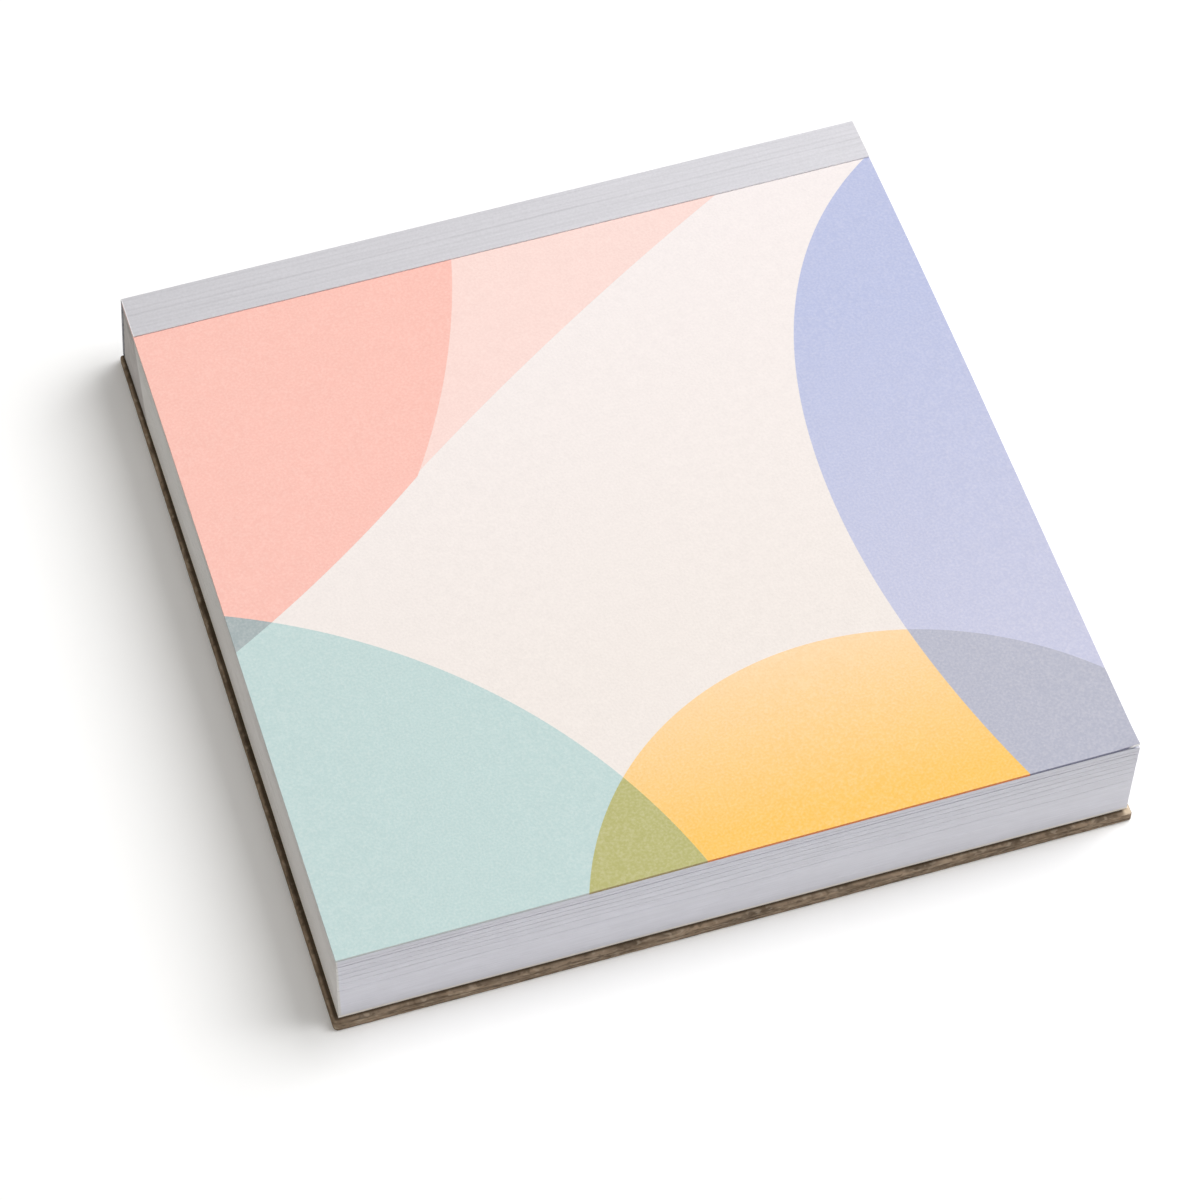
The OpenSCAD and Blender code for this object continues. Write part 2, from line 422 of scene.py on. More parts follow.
def card_skin(above_pile):
    """A table of points over the sheet, some way above the pile."""
    columns = crowded_ends(LEFT, RIGHT, CARD_COLUMNS)
    x, y = np.meshgrid(columns, crowded_ends(FRONT_Y, HEAD_Y, CARD_ROWS))
    wave = SHEET_WAVE * looseness(y) * (1 + ripple(x + WAVE_SLANT * y, (41, 67), seed=4)) / 2
    z = pile_top(y) + above_pile + wave + CURL_HEIGHT * front_corner_nearness(x, y, CURL_REACH)
    return np.stack([x, y - LEAN, z], -1).reshape(-1, 3)


def build_card():
    count = CARD_COLUMNS * CARD_ROWS
    faces = grid_faces(CARD_ROWS, CARD_COLUMNS) + grid_faces(CARD_ROWS, CARD_COLUMNS, start=count)
    flat_faces = len(faces)
    grid = np.arange(count).reshape(CARD_ROWS, CARD_COLUMNS)
    rim = np.concatenate([grid[0, :-1], grid[:-1, -1], grid[-1, :0:-1], grid[:0:-1, 0]])
    faces += [[int(a), int(b), int(b + count), int(a + count)] for a, b in zip(rim, np.roll(rim, -1))]
    is_edge = [0] * flat_faces + [1] * (len(faces) - flat_faces)
    points = np.vstack([card_skin(-CARD_SINK), card_skin(CARD_T)])
    return add_piece("printed_top_sheet_card", points, faces, [card_face, card_edge],
                     "printed_top_sheet", is_edge)


build_card()

# %% [markdown]
# ## The note sheets
# The pile is about 140 sheets of 80 g paper, each a tenth of a millimetre thick. A block with
# lines drawn on it would look flat from the side, so the cut edges are modelled sheet by sheet:
# each sheet is a pair of rows of points round the pile, set in by a few hundredths of a
# millimetre more or less than the next. Here and there a sheet sits deeper, and its shadow draws
# the fine lines that show best near the top, where the loose sheets have shifted most. The
# deeper sheets are listed by their distance below the top, each with its extra depth.
# %% Rows and stations of the pile
SHEET_T = 0.1
SHEET_COUNT = round(PILE_H / SHEET_T)
FRONT_STATIONS, SIDE_STATIONS = 120, 70
DEEP_SHEETS = {0.8: 0.18, 1.4: 0.34, 1.5: 0.26, 2.5: 0.16, 3.5: 0.24, 4.6: 0.16, 5.7: 0.12, 7.5: 0.08}
LOOSE, TIGHT = 0.045, 0.008
FOOT_SHEETS, FOOT_INSET, PROUD = 1, 0.35, 0.06
SWAY = 0.16
BUNDLE, BUNDLE_WANDER = 5, 0.02
SAG, SAG_REACH, SAG_POWER = 0.12, 25.0, 3
DOG_EAR, DOG_EAR_REACH, DOG_EAR_POWER = 0.3, 2.4, 12
PAGES_RIGHT = 0.12


def stations():
    """Points round the pile, along the front and up both sides, and the way each one faces."""
    side_y = crowded_ends(FRONT_Y, HEAD_Y, SIDE_STATIONS)[1:]
    side_count = len(side_y)
    x = np.concatenate([crowded_ends(LEFT, RIGHT, FRONT_STATIONS), np.full(side_count, RIGHT),
                        np.full(side_count, LEFT)])
    y = np.concatenate([np.full(FRONT_STATIONS, FRONT_Y), side_y, side_y[::-1]])
    out_x = np.where(x == RIGHT, 1.0, 0.0) - np.where(x == LEFT, 1.0, 0.0)
    out_y = np.where(y == FRONT_Y, -1.0, 0.0)
    return x, y, out_x, out_y


def sheet_insets():
    """How far each sheet is set in: a little at random, and more where a line shows."""
    rng = np.random.default_rng(11)
    shifted = np.linspace(0.3, 1, SHEET_COUNT) ** 2
    inset = TIGHT + (LOOSE - TIGHT) * shifted * rng.random(SHEET_COUNT)
    for below_top, depth in DEEP_SHEETS.items():
        inset[SHEET_COUNT - 1 - round(below_top / SHEET_T)] += depth
    inset[:FOOT_SHEETS] = FOOT_INSET
    inset[FOOT_SHEETS:FOOT_SHEETS + 2] = -PROUD
    return inset


# %% [markdown]
# The rows are then placed. A row keeps its share of the pile's height all the way round, so the
# lines close up towards the head, where the pile is thinner. Each row also wanders up and down by
# a fraction of a millimetre, most at mid height, and every five sheets wander in and out together.
# The front right corner sags, and its very tip is bent down a little, as on the real pad: the sag
# reaches far down the pile, the bent tip only into its top. On the right the pages stand out a
# tenth of a millimetre.
# The lowest sheets stick to the glue on the board and sit back from the edge, which leaves a fine
# dark gap under the pile.
# %% Note sheets
def build_pile(material):
    """The pages as one closed mesh: a band of faces for each sheet's edge and each gap."""
    x, y, out_x, out_y = stations()
    along = x + 1.3 * y
    x = x + PAGES_RIGHT * (out_x > 0) * looseness(y)
    columns = len(x)
    rows = []
    for sheet, inset in enumerate(sheet_insets()):
        wander = inset * uneven(along, (29, 47, 83), seed=60 + sheet)
        wander = wander + BUNDLE_WANDER * ripple(along, (23, 37, 61), seed=sheet // BUNDLE)
        for share in (sheet / SHEET_COUNT, (sheet + 0.999) / SHEET_COUNT):
            bow = SWAY * math.sin(math.pi * share)
            sway = bow * ripple(along + 40 * share, (21, 34, 52), seed=3)
            sag = SAG * share**SAG_POWER * front_corner_nearness(x, y, SAG_REACH)
            bent = DOG_EAR * share**DOG_EAR_POWER * front_corner_nearness(x, y, DOG_EAR_REACH)
            z = pile_low.z + (pile_top(y) - CARD_SINK - pile_low.z) * share + sway - sag - bent
            rows.append(np.stack([x - out_x * wander, y - out_y * wander - LEAN * share, z], -1))
    faces = grid_faces(len(rows), columns, closed=True)
    right = [FRONT_STATIONS - 1 + i for i in range(SIDE_STATIONS)]
    left = [0] + [columns - i for i in range(1, SIDE_STATIONS)]
    for start in (0, (len(rows) - 1) * columns):
        faces.append([start + i for i in list(range(FRONT_STATIONS)) + [right[1], left[1]]])
        for j in range(1, SIDE_STATIONS - 1):
            faces.append([start + i for i in (left[j], right[j], right[j + 1], left[j + 1])])
    return add_piece("note_sheets_pages", np.vstack(rows), faces, [material],
                     "note_sheets", soft_below_deg=20)


# %% [markdown]
# Cut paper edges look softer and greyer than the sheets' faces, because light sinks in between
# them. The base is a lavender white with streaks drawn out along the sheets, painted a shade
# lighter low down and darker near the top, as painted light. The last few sheets are creamier and
# painted brighter, partly a painted highlight, and the left side is painted yellower, as painted
# warm light from the left. Near the head, on both sides, the pages are greyer behind a slanted
# border, and right at the head they are painted dark grey, as painted shade at the back corner.
# %% Bond paper, cut edges
STREAK, STREAK_TONES = 0.22, (0.965, 1.03)
LEFT_WARM_LIGHT = (0.4, 0.2)
WEDGE_TOP_Y, WEDGE_FOOT_Y = strip_low.y, HEAD_Y - 11.5
WEDGE_SOFTNESS = 0.8
HEAD_FOOT_Y, HEAD_TOP_Y = HEAD_Y + FOOT_BACK, HEAD_Y - LEAN
HEAD_SHADE_BAND = (-0.75, -0.45)
LAST_SHEETS = (FOOT_SHEETS + 3) * SHEET_T


def past_border(tree, place, above_board, foot_y, top_y, edge):
    """0 in front of a border up the side of the pile, and 1 behind it. edge says how soft it is."""
    slope = (top_y - foot_y) / (PILE_H - HEAD_PRESS + SETTLE_LEFT)
    border = math_node(tree, "MULTIPLY_ADD", above_board, slope, foot_y)
    past = math_node(tree, "SUBTRACT", place.outputs["Y"], border)
    return spread(tree, past, *edge, 0, 1)


def bond_paper_edges():
    """The colour of the cut edges of the pages, from the plain paper to the stain at the head."""
    material, tree, shader = new_material("bond_paper_cut_edges", roughness=0.9, specular=0.15)
    streaks = grain(tree, STREAK, stretch=(0.03, 0.03, 1), detail=3.0)
    blots = grain(tree, 3.0, stretch=(1, 1, 1.6))
    colour = mottled(tree, hex_colour("#e7e7ef"), streaks, *STREAK_TONES)
    colour = mottled(tree, colour, blots, 0.985, 1.015)
    place = add(tree, "ShaderNodeSeparateXYZ", {0: place_mm(tree)})
    from_left = math_node(tree, "SUBTRACT", place.outputs["X"], LEFT)
    # Painted warm light: the left side of the pile is painted yellower.
    warm_lit_edges = mottled(tree, hex_colour("#e3e1df"), streaks, *STREAK_TONES)
    colour = lay_over(tree, spread(tree, from_left, *LEFT_WARM_LIGHT, 0, 1), colour, warm_lit_edges)
    above_board = math_node(tree, "SUBTRACT", place.outputs["Z"], pile_low.z)
    # Painted light: the pages are painted lighter low down and a little darker near the top.
    colour = shade(tree, colour, spread(tree, above_board, 0.35 * PILE_H, PILE_H, 1.04, 0.985))
    # The last few sheets are creamier, and painted brighter as a painted highlight along the foot.
    last = math_node(tree, "LESS_THAN", above_board, LAST_SHEETS)
    colour = lay_over(tree, last, colour, hex_colour("#faf5ee"))
    # The sides are painted darker and greyer behind a slanted border near the head.
    grey_wedge = past_border(tree, place, above_board, WEDGE_FOOT_Y, WEDGE_TOP_Y, (0, WEDGE_SOFTNESS))
    fibres = grain(tree, 0.5, stretch=(1, 1, 0.12))
    wedge_tone = mottled(tree, hex_colour("#cac6c4"), fibres, 0.93, 1.06)
    colour = lay_over(tree, grey_wedge, colour, wedge_tone)
    # Painted shade: the pages right at the head are painted dark grey along the back corner.
    head_shade = past_border(tree, place, above_board, HEAD_FOOT_Y, HEAD_TOP_Y, HEAD_SHADE_BAND)
    colour = lay_over(tree, head_shade, colour, hex_colour("#74757c"))
    tree.links.new(colour, shader.inputs["Base Color"])
    emboss(tree, shader, streaks, depth_mm=0.03)
    return material


build_pile(bond_paper_edges())
print("pile:", SHEET_COUNT, "sheets of", SHEET_T, "mm")

# %% [markdown]
# ## The padding glue
# Padding glue is brushed over the clamped edges at the head. It dries to a thin cloudy film, with
# small smears round both corners of the pile. The film is built as one outline, seen from above,
# for each height: along the back, round one corner, and back along the sheets. The smears grow
# and shrink from one height to the next, so they look brushed and not machined.
# %% Padding glue
FILM_T = glue_high.y - HEAD_Y
FILM_COLUMNS, FILM_ROWS, SMEAR_STEPS = 40, 60, 7
SMEAR_T, SMEAR_REACH = 0.12, 0.8
SMEAR_LEAST, SMEAR_SWING = 0.25, 0.1
SUNK, CLEAR_OF_STRIP = 0.04, 0.02


def smear(side_x, sign, back_y, amount):
    """Points round a corner of the pile, from the back of the film to the tip of the smear."""
    t = np.linspace(0, 1, SMEAR_STEPS)
    y = back_y - (FILM_T + SMEAR_REACH * amount) * t
    x = side_x + sign * (SMEAR_T * amount * np.sqrt(1 - t) - SUNK * t)
    return np.stack([x, y], -1)


def build_glue(material):
    """The film with its smears. Its back stays just clear of the strip that covers it."""
    knee = pile_low.z
    heights = np.concatenate([[glue_low.z], np.linspace(knee, glue_high.z, FILM_ROWS - 1)])
    rows = []
    for height in heights:
        share = max(0.0, (height - knee) / (glue_high.z - knee))
        head = HEAD_Y - LEAN * share
        back = head + FILM_T - CLEAR_OF_STRIP
        swings = [1 + ripple(height, (2.7, 6.1), seed=seed) for seed in (31, 32)]
        amounts = [SMEAR_LEAST + SMEAR_SWING * swing for swing in swings]
        right, left = smear(RIGHT, 1, back, amounts[0]), smear(LEFT, -1, back, amounts[1])
        across = np.linspace(LEFT, RIGHT, FILM_COLUMNS)[1:-1]
        film_back = np.stack([across, np.full(len(across), back)], -1)
        film_face = np.array([[RIGHT - SUNK, head], [LEFT + SUNK, head]])
        outline = np.vstack([film_back, right, film_face, left[::-1]])
        rows.append(np.column_stack([outline, np.full(len(outline), height)]))
    columns = len(rows[0])
    faces = grid_faces(len(rows), columns, closed=True)
    faces += [list(range(columns)), list(range((len(rows) - 1) * columns, len(rows) * columns))]
    return add_piece("binding_glue_film", np.vstack(rows), faces, [material],
                     "binding_glue", soft_below_deg=40)


def dried_padding_glue():
    """Water-based glue: cloudy, with a dull sheen, and painted dark grey as painted shade at the head."""
    material, tree, shader = new_material("dried_padding_glue", roughness=0.45, specular=0.5)
    clouds = grain(tree, 0.9, detail=3.0)
    # Painted shade: the glue is painted dark grey, darker than dried glue, for the shaded gap at the head.
    colour = lay_over(tree, clouds, hex_colour("#7a7a82"), hex_colour("#5e5f69"))
    tree.links.new(colour, shader.inputs["Base Color"])
    emboss(tree, shader, clouds, depth_mm=0.05)
    return material


build_glue(dried_padding_glue())

# %% [markdown]
# ## The binding strip
# The strip is a band of grey-white laid paper, two tenths of a millimetre thick. Its section is
# drawn once, back over the printed sheet, round the fold and down the head, and then swept along
# the pad. Laid paper has fine lines, which run along this strip. They are modelled as shallow
# grooves at uneven distances from the front edge of the lap, and each one fades in and out.
# %% Section of the strip
STRIP_T = strip_high.y - glue_high.y
LAP_STEPS, FOLD_STEPS, DROP_STEPS = 72, 9, 60
STRIP_COLUMNS = 90
FOLD_INNER_R = 0.05
GROOVE_DEPTH, GROOVE_HALF_W, GROOVE_SHIFT = 0.03, 0.22, 17.0
LAP_GROOVES = (0.6, 1.35, 1.95, 2.6, 3.65, 4.6, 5.4)
LAP_STRENGTHS = (0.25, 0.5, 0.35, 0.6, 1.0, 0.45, 0.4)
BACK_GROOVE_STEP, BACK_STRENGTH = 0.9, 0.5
CUT_WAVER, CUT_REACH = 0.03, 0.5


def strip_path():
    """The strip's inner face as depth and height, with the way that it faces."""
    lap_y = np.linspace(strip_low.y + LEAN, HEAD_Y + FILM_T - FOLD_INNER_R, LAP_STEPS)
    lap = np.stack([lap_y - LEAN, pile_top(np.minimum(lap_y, HEAD_Y)) + CARD_T], -1)
    turn = np.linspace(0, math.pi / 2, FOLD_STEPS)[1:]
    turn_way = np.stack([np.sin(turn), np.cos(turn)], -1)
    fold = lap[-1] + [0, -FOLD_INNER_R] + FOLD_INNER_R * turn_way
    share = np.linspace(0, 1, DROP_STEPS)[1:, None]
    drop = fold[-1] + share * (np.array([glue_high.y, pile_low.z]) - fold[-1])
    foot = np.array([[glue_high.y, strip_low.z]])
    path = np.vstack([lap, fold, drop, foot])
    way = np.vstack([np.tile([0.0, 1.0], (len(lap), 1)), turn_way, np.tile([1.0, 0.0], (DROP_STEPS, 1))])
    return path, way


def groove_profile(path):
    """How deep in a groove each point of the section lies, from 0 to 1, and which groove it is."""
    run = np.concatenate([[0], np.cumsum(np.hypot(*np.diff(path, axis=0).T))])
    on_back = np.arange(LAP_GROOVES[-1] + BACK_GROOVE_STEP, run[-1], BACK_GROOVE_STEP)
    grooves = np.concatenate([LAP_GROOVES, on_back])
    strength = np.concatenate([LAP_STRENGTHS, np.full(len(on_back), BACK_STRENGTH)])
    nearest = np.abs(run[:, None] - grooves).argmin(axis=1)
    away = np.abs(run - grooves[nearest])
    return strength[nearest] * np.clip(1 - away / GROOVE_HALF_W, 0, 1), nearest


# %% [markdown]
# The section is swept in steps of about a millimetre. The front edge of the lap is a knife cut,
# straight to a few hundredths of a millimetre, and the edge settles onto the printed sheet. The
# depth of the grooves is kept on the mesh as an attribute, so that the material can find them.
# %% Binding strip
def build_strip(material):
    """The section swept from the left end to the right, with its grooves pressed in."""
    path, way = strip_path()
    groove, nearest = groove_profile(path)
    points_per_face = len(path)
    sections, depths = [], []
    for x in crowded_ends(LEFT, RIGHT, STRIP_COLUMNS):
        depth = groove * uneven(x + GROOVE_SHIFT * nearest, (29, 47), seed=23)
        thickness = STRIP_T - GROOVE_DEPTH * depth
        section = np.vstack([path, (path + way * thickness[:, None])[::-1]])
        near_cut = np.clip(1 - (section[:, 0] - strip_low.y) / CUT_REACH, 0, 1)
        section[:, 0] += CUT_WAVER * np.abs(ripple(x, (24, 55), seed=24)) * near_cut
        sections.append(np.column_stack([np.full(len(section), x), section]))
        depths.append(np.concatenate([np.zeros(points_per_face), depth[::-1]]))
    columns = 2 * points_per_face
    faces = grid_faces(STRIP_COLUMNS, columns, closed=True)
    for start in (0, (STRIP_COLUMNS - 1) * columns):
        for i in range(points_per_face - 1):
            faces.append([start + i, start + i + 1, start + columns - 2 - i, start + columns - 1 - i])
    piece = add_piece("binding_strip_laid_paper", np.vstack(sections), faces, [material],
                      "binding_strip", soft_below_deg=40)
    piece.data.attributes.new("groove", "FLOAT", "POINT").data.foreach_set("value", np.concatenate(depths))


# %% [markdown]
# Laid paper of this weight is matt and grey-white. Its grooves are painted a few percent darker, as
# painted shade. Long thin streaks run along them, the paper is painted a shade darker towards its
# left end, as painted shade, and the cut end is painted whiter, as a painted highlight on its lit
# edge. Below the fold the cut end is painted dark grey, as painted shade.
# %% Laid paper
STREAK_W = 0.35
GROOVE_SHADE = 0.15
CUT_END_BAND = 0.22
FOLD_Z = pile_top(HEAD_Y) + SETTLE_LEFT + SETTLE_LEFT_HEAD


def laid_paper():
    """Grey-white paper, with painted shade in its grooves and a painted highlight and shade on its cut
    end.
    """
    material, tree, shader = new_material("laid_paper_grey_white", roughness=0.85, specular=0.25)
    streaks = grain(tree, STREAK_W, stretch=(0.03, 1, 1), detail=3.0)
    fibres = grain(tree, FIBRE_CLUMP, detail=3.0)
    groove = add(tree, "ShaderNodeAttribute", attribute_name="groove").outputs["Fac"]
    place = add(tree, "ShaderNodeSeparateXYZ", {0: place_mm(tree)}).outputs
    # Painted shade: the paper is painted darker towards its left end, where the light falls off.
    to_right = spread(tree, place["X"], LEFT, RIGHT, 0, 1)
    tone = lay_over(tree, to_right, hex_colour("#cccbd0"), hex_colour("#dcdbe1"))
    tone = mottled(tree, tone, streaks, 0.97, 1.03)
    tone = mottled(tree, tone, fibres, 0.96, 1.04)
    # Painted shade: the grooves are painted darker.
    tone = shade(tree, tone, spread(tree, groove, 0, 1, 1, 1 - GROOVE_SHADE))
    # The cut end: a painted highlight above the fold, and painted shade below it.
    from_end = math_node(tree, "SUBTRACT", place["X"], LEFT)
    at_cut_end = math_node(tree, "LESS_THAN", from_end, CUT_END_BAND)
    below_fold_shaded = math_node(tree, "LESS_THAN", place["Z"], FOLD_Z)
    cut_end_light_shade = lay_over(tree, below_fold_shaded, hex_colour("#e2e0e3"), hex_colour("#6a6b74"))
    tone = lay_over(tree, at_cut_end, tone, cut_end_light_shade)
    tree.links.new(tone, shader.inputs["Base Color"])
    emboss(tree, shader, streaks, depth_mm=0.03)
    return material


build_strip(laid_paper())

# %% [markdown]
# ## The backing board
# Greyboard is pressed from waste paper in several plies, and a guillotine cuts it. Its corners
# and edges go soft with handling. It is built as an outline with rounded corners, taken up
# through a profile that is rounded at both edges. The cut side shows the plies as faint ridges,
# and each point of it is moved in or out a little, because the fibres tear as the blade passes.
# %% Backing board
EDGE_R, FLAT_INSET = 0.3, 0.34
FRONT_LEFT_R, CORNER_R = 0.7, 0.35
WIDER_RIGHT = 0.1
OUTLINE_STEP, CORNER_STEPS, EDGE_STEPS, SIDE_ROWS = 0.5, 8, 5, 7
PLY_RIDGE, TORN_FIBRE = 0.03, 0.035


def board_outline():
    """Points round the board at even steps, with the way that each one faces."""
    left, right = board_low.x, board_high.x + WIDER_RIGHT
    corners = [(right, board_low.y, -90, CORNER_R), (right, board_high.y, 0, CORNER_R),
               (left, board_high.y, 90, CORNER_R), (left, board_low.y, 180, FRONT_LEFT_R)]
    points, ways = [], []
    for x, y, start, radius in corners:
        centre = np.array([x - math.copysign(radius, x), y - math.copysign(radius, y)])
        for angle in np.radians(np.linspace(start, start + 90, CORNER_STEPS)):
            way = np.array([math.cos(angle), math.sin(angle)])
            points.append(centre + radius * way)
            ways.append(way)
    outline, outline_ways = [], []
    for i, (point, way) in enumerate(zip(points, ways)):
        following = points[(i + 1) % len(points)]
        steps = max(1, round(np.linalg.norm(following - point) / OUTLINE_STEP))
        for share in np.arange(steps) / steps:
            outline.append(point + (following - point) * share)
            outline_ways.append(way)
    return np.array(outline), np.array(outline_ways)


def board_profile():
    """Inset and height of each row, from the underside round both soft edges to the top."""
    thickness = board_high.z - board_low.z
    bend = np.linspace(0, math.pi / 2, EDGE_STEPS)
    inset = EDGE_R * (1 - np.sin(bend))
    height = EDGE_R * (1 - np.cos(bend))
    side = np.linspace(EDGE_R, thickness - EDGE_R, SIDE_ROWS)[1:-1]
    insets = np.concatenate([[FLAT_INSET], inset, np.zeros(len(side)), inset[::-1], [FLAT_INSET]])
    heights = np.concatenate([[0], height, side, thickness - height[::-1], [thickness]])
    return insets, board_low.z + heights


def build_board(material):
    """The board, row by row from its underside up, with torn fibres and plies on its cut sides."""
    rng = np.random.default_rng(41)
    outline, ways = board_outline()
    run = np.arange(len(outline)) * OUTLINE_STEP
    rows = []
    for row, (inset, height) in enumerate(zip(*board_profile())):
        on_side = 1.0 if inset < EDGE_R / 2 else 0.0
        torn = TORN_FIBRE * on_side * rng.random(len(outline))
        ridge = PLY_RIDGE * on_side * (1 + ripple(run, (9, 17, 40), seed=50 + row)) / 2
        placed = outline - ways * (inset + torn + ridge)[:, None]
        rows.append(np.column_stack([placed, np.full(len(placed), height)]))
    columns = len(outline)
    faces = grid_faces(len(rows), columns, closed=True)
    faces += [list(range(columns)), list(range((len(rows) - 1) * columns, len(rows) * columns))]
    return add_piece("backing_board_greyboard", np.vstack(rows), faces, [material],
                     "backing_board", soft_below_deg=50)


# %% [markdown]
# Greyboard is brown-grey because ink and mixed fibres go into it. Up close it is full of short
# pale and dark flecks, and on the cut sides these are drawn out into streaks along the plies.
# The ledge next to the pile is painted dark on the left and at the front, as painted shade where
# the pile shades it, and painted pale on the right, as a painted highlight where the lamp lights it.
# %% Greyboard
FLECK = 0.4
PLY_STREAK = 0.26
LEDGE_SKIN = 0.12
# Bands of the ledge that get painted shade on the left and front, and a painted highlight on the right.
SHADE_LEFT, SHADE_FRONT, HIGHLIGHT_RIGHT = (-0.65, -0.4), (-0.45, -0.2), (-0.6, -0.2)
LEDGE_SHADE = 0.85


def greyboard():
    """Flecked board. Its ledge has painted shade along the pages and a painted highlight on the right."""
    material, tree, shader = new_material("greyboard_unlined", roughness=0.95, specular=0.1)
    clouds = grain(tree, 1.6, stretch=(0.5, 0.5, 1), detail=3.0)
    streaks = grain(tree, PLY_STREAK, stretch=(0.07, 0.07, 1), detail=4.0)
    flecks = grain(tree, FLECK, stretch=(0.4, 0.4, 1.5), detail=1.0)
    cloudy = spread(tree, clouds, 0.35, 0.65, 0, 1)
    colour = lay_over(tree, cloudy, hex_colour("#84725f"), hex_colour("#958370"))
    colour = mottled(tree, colour, streaks, 0.45, 1.55)
    pale = spread(tree, flecks, 0.57, 0.68, 0, 0.45)
    colour = lay_over(tree, pale, colour, hex_colour("#c4b39d"))
    dark = spread(tree, flecks, 0.42, 0.32, 0, 0.5)
    colour = lay_over(tree, dark, colour, hex_colour("#4e4336"))
    place = add(tree, "ShaderNodeSeparateXYZ", {0: place_mm(tree)}).outputs
    on_top = math_node(tree, "GREATER_THAN", place["Z"], board_high.z - LEDGE_SKIN)
    from_left = math_node(tree, "SUBTRACT", place["X"], LEFT)
    from_right = math_node(tree, "SUBTRACT", place["X"], RIGHT)
    from_front = math_node(tree, "SUBTRACT", place["Y"], FRONT_Y)
    # Painted shade: the top of the ledge is darkened next to the pile on the left and at the front.
    shade_by_left = spread(tree, from_left, *SHADE_LEFT, 0, LEDGE_SHADE)
    shade_by_front = spread(tree, from_front, *SHADE_FRONT, 0, 1)
    lit_by_right = spread(tree, from_right, *HIGHLIGHT_RIGHT, 0, 1)
    shade_by_pages = math_node(tree, "MULTIPLY", shade_by_left, shade_by_front)
    shaded_ledge = math_node(tree, "MULTIPLY", shade_by_pages, on_top)
    colour = lay_over(tree, shaded_ledge, colour, hex_colour("#493d2f"))
    # Painted highlight: the right end of the ledge is painted pale, where the lamp lights it.
    ledge_highlight = math_node(tree, "MULTIPLY", lit_by_right, on_top)
    colour = lay_over(tree, ledge_highlight, colour, hex_colour("#d6c3aa"))
    tree.links.new(colour, shader.inputs["Base Color"])
    emboss(tree, shader, streaks, depth_mm=0.06)
    return material


build_board(greyboard())

# %% [markdown]
# ## Floor and light
# The pad lies on a white sweep. One large soft lamp stands to the right and a little behind, so
# the shadow falls to the left and the front edge lies in open shade. An even white sky fills in
# the rest. Together they light a level surface at about 1, so the inks show as they are written.
# The camera sees the sky as plain white, straight or in a gloss, and the floor adds a little of
# its own light for the same rays alone, so the ground is white while the shadow stays.
# %% Floor, lamp and sky
SKY_LIGHT, KEY_LIGHT = 0.36, 0.8
KEY_AZIMUTH, KEY_ELEVATION, KEY_DISTANCE, KEY_SIZE = 3.0, 55.5, 3.0, 2.25
WARM_SIDE, COOL_SIDE = "#fff9ed", "#f4f7fc"
FLOOR_HALF, FLOOR_BELOW = 1.5, 0.01 * MM
FLOOR_TONE, FLOOR_LIFT = 0.93, 0.12


def seen_directly(tree):
    """1 for rays that the camera sends, straight, by reflection or through glass, and else 0."""
    path = add(tree, "ShaderNodeLightPath").outputs
    straight_or_mirrored = math_node(tree, "MAXIMUM", path["Is Camera Ray"], path["Is Glossy Ray"])
    return math_node(tree, "MAXIMUM", straight_or_mirrored, path["Is Transmission Ray"])


def build_floor():
    """A white floor, a hair below the board so that the two faces don't coincide."""
    mesh = bpy.data.meshes.new("floor")
    corners = [(-FLOOR_HALF, -FLOOR_HALF), (FLOOR_HALF, -FLOOR_HALF), (FLOOR_HALF, FLOOR_HALF),
               (-FLOOR_HALF, FLOOR_HALF)]
    mesh.from_pydata([(x, y, -FLOOR_BELOW) for x, y in corners], [], [(0, 1, 2, 3)])
    floor = bpy.data.objects.new("floor", mesh)
    bpy.context.scene.collection.objects.link(floor)
    material, tree, shader = new_material("white_sweep", roughness=1.0, specular=0.0)
    shader.inputs["Base Color"].default_value = (FLOOR_TONE, FLOOR_TONE, FLOOR_TONE, 1)
    shader.inputs["Emission Color"].default_value = (1, 1, 1, 1)
    lift = math_node(tree, "MULTIPLY", seen_directly(tree), FLOOR_LIFT)
    tree.links.new(lift, shader.inputs["Emission Strength"])
    mesh.materials.append(material)


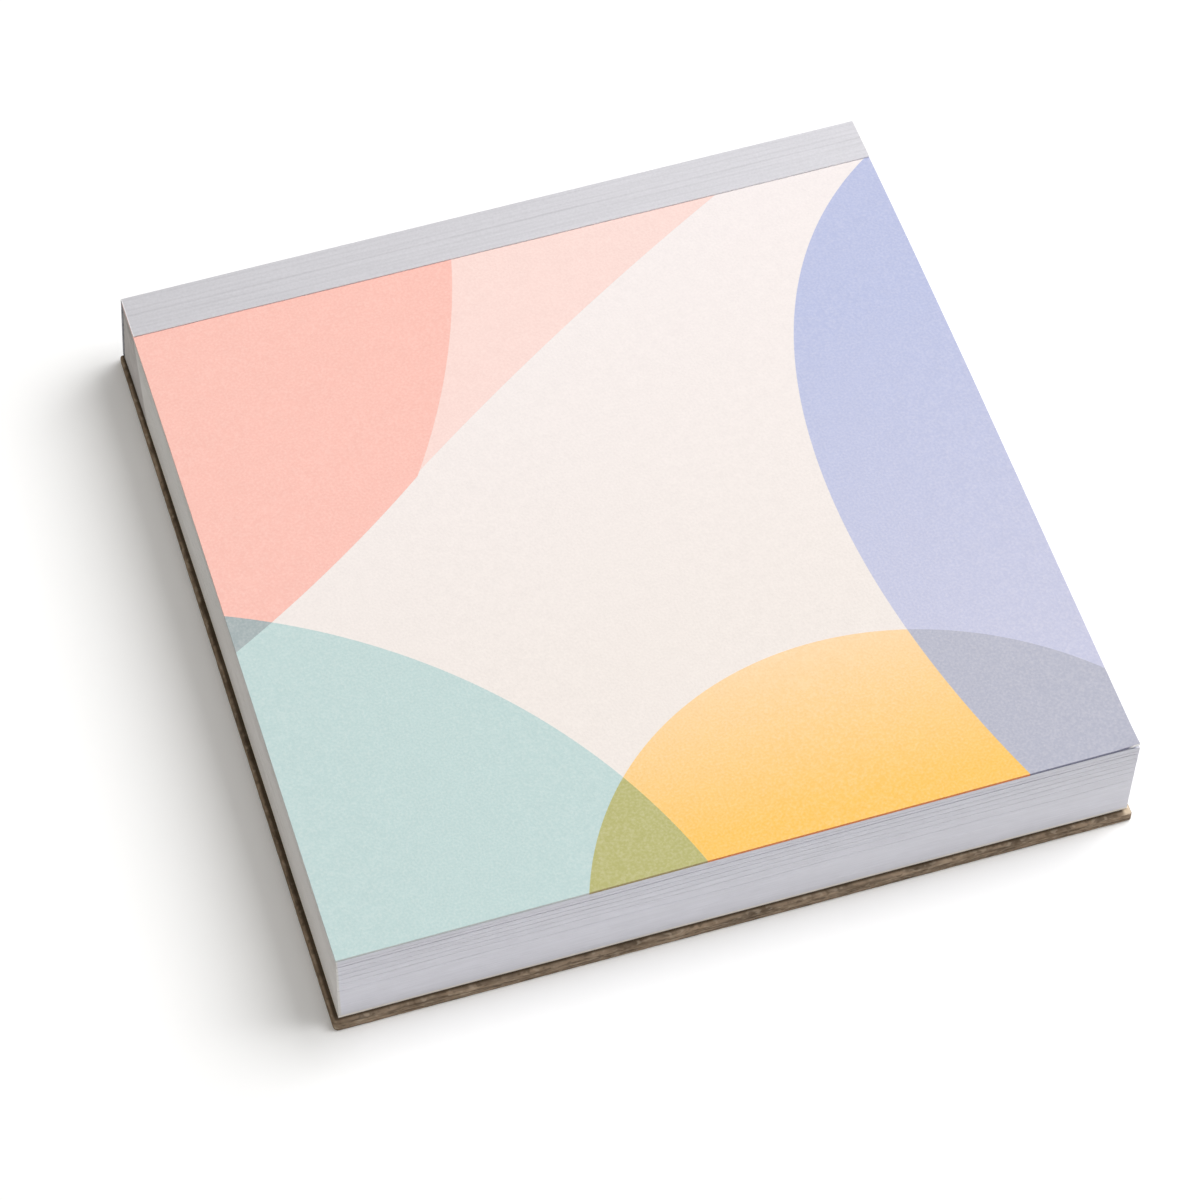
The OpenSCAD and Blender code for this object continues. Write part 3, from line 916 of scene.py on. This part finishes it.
def build_sky():
    """An even sky, a touch warmer from the left. Seen directly, it is plain white."""
    world = bpy.data.worlds.new("white_sky")
    bpy.context.scene.world = world
    world.use_nodes = True
    tree = world.node_tree
    background = tree.nodes["Background"]
    direct = seen_directly(tree)
    way = add(tree, "ShaderNodeTexCoord").outputs["Generated"]
    to_right = spread(tree, add(tree, "ShaderNodeSeparateXYZ", {0: way}).outputs["X"], -1, 1, 0, 1)
    tint = lay_over(tree, to_right, hex_colour(WARM_SIDE), hex_colour(COOL_SIDE))
    tree.links.new(lay_over(tree, direct, tint, (1, 1, 1, 1)), background.inputs["Color"])
    tree.links.new(spread(tree, direct, 0, 1, SKY_LIGHT, 1), background.inputs["Strength"])


def build_key_lamp():
    """The large soft lamp. Its power lights a level surface at KEY_LIGHT, whatever its place."""
    azimuth, elevation = math.radians(KEY_AZIMUTH), math.radians(KEY_ELEVATION)
    way = Vector((math.cos(azimuth) * math.cos(elevation), math.sin(azimuth) * math.cos(elevation),
                  math.sin(elevation)))
    lamp = bpy.data.lights.new("key_softbox", "AREA")
    lamp.size = KEY_SIZE
    lamp.energy = KEY_LIGHT * math.pi**2 * KEY_DISTANCE**2 / math.sin(elevation)
    holder = bpy.data.objects.new("key_softbox", lamp)
    holder.location = KEY_DISTANCE * way
    holder.rotation_euler = way.to_track_quat("Z", "Y").to_euler()
    bpy.context.scene.collection.objects.link(holder)
    print(f"key lamp: {lamp.energy:.1f} W")


build_floor()
build_sky()
build_key_lamp()

# %% [markdown]
# ## Camera
# The camera looks down at the pad from the front left, at 55 degrees, through a long lens, so the
# far edge is only a little shorter than the near one.
# %% Camera
CAMERA_MM = Vector((-102.13, -325.47, 472.22))
TARGET_MM = Vector((-3.51, -7.82, 8.6))
LENS_MM, SENSOR_MM = 137.21, 36.0

camera = bpy.data.cameras.new("camera")
camera.lens = LENS_MM
camera.sensor_width = SENSOR_MM
camera_holder = bpy.data.objects.new("camera", camera)
camera_holder.location = CAMERA_MM * MM
camera_holder.rotation_euler = (TARGET_MM - CAMERA_MM).to_track_quat("-Z", "Y").to_euler()
bpy.context.scene.collection.objects.link(camera_holder)
bpy.context.scene.camera = camera_holder
bpy.context.scene.view_settings.view_transform = "Standard"
print(f"camera {(TARGET_MM - CAMERA_MM).length:.0f} mm from the pad")
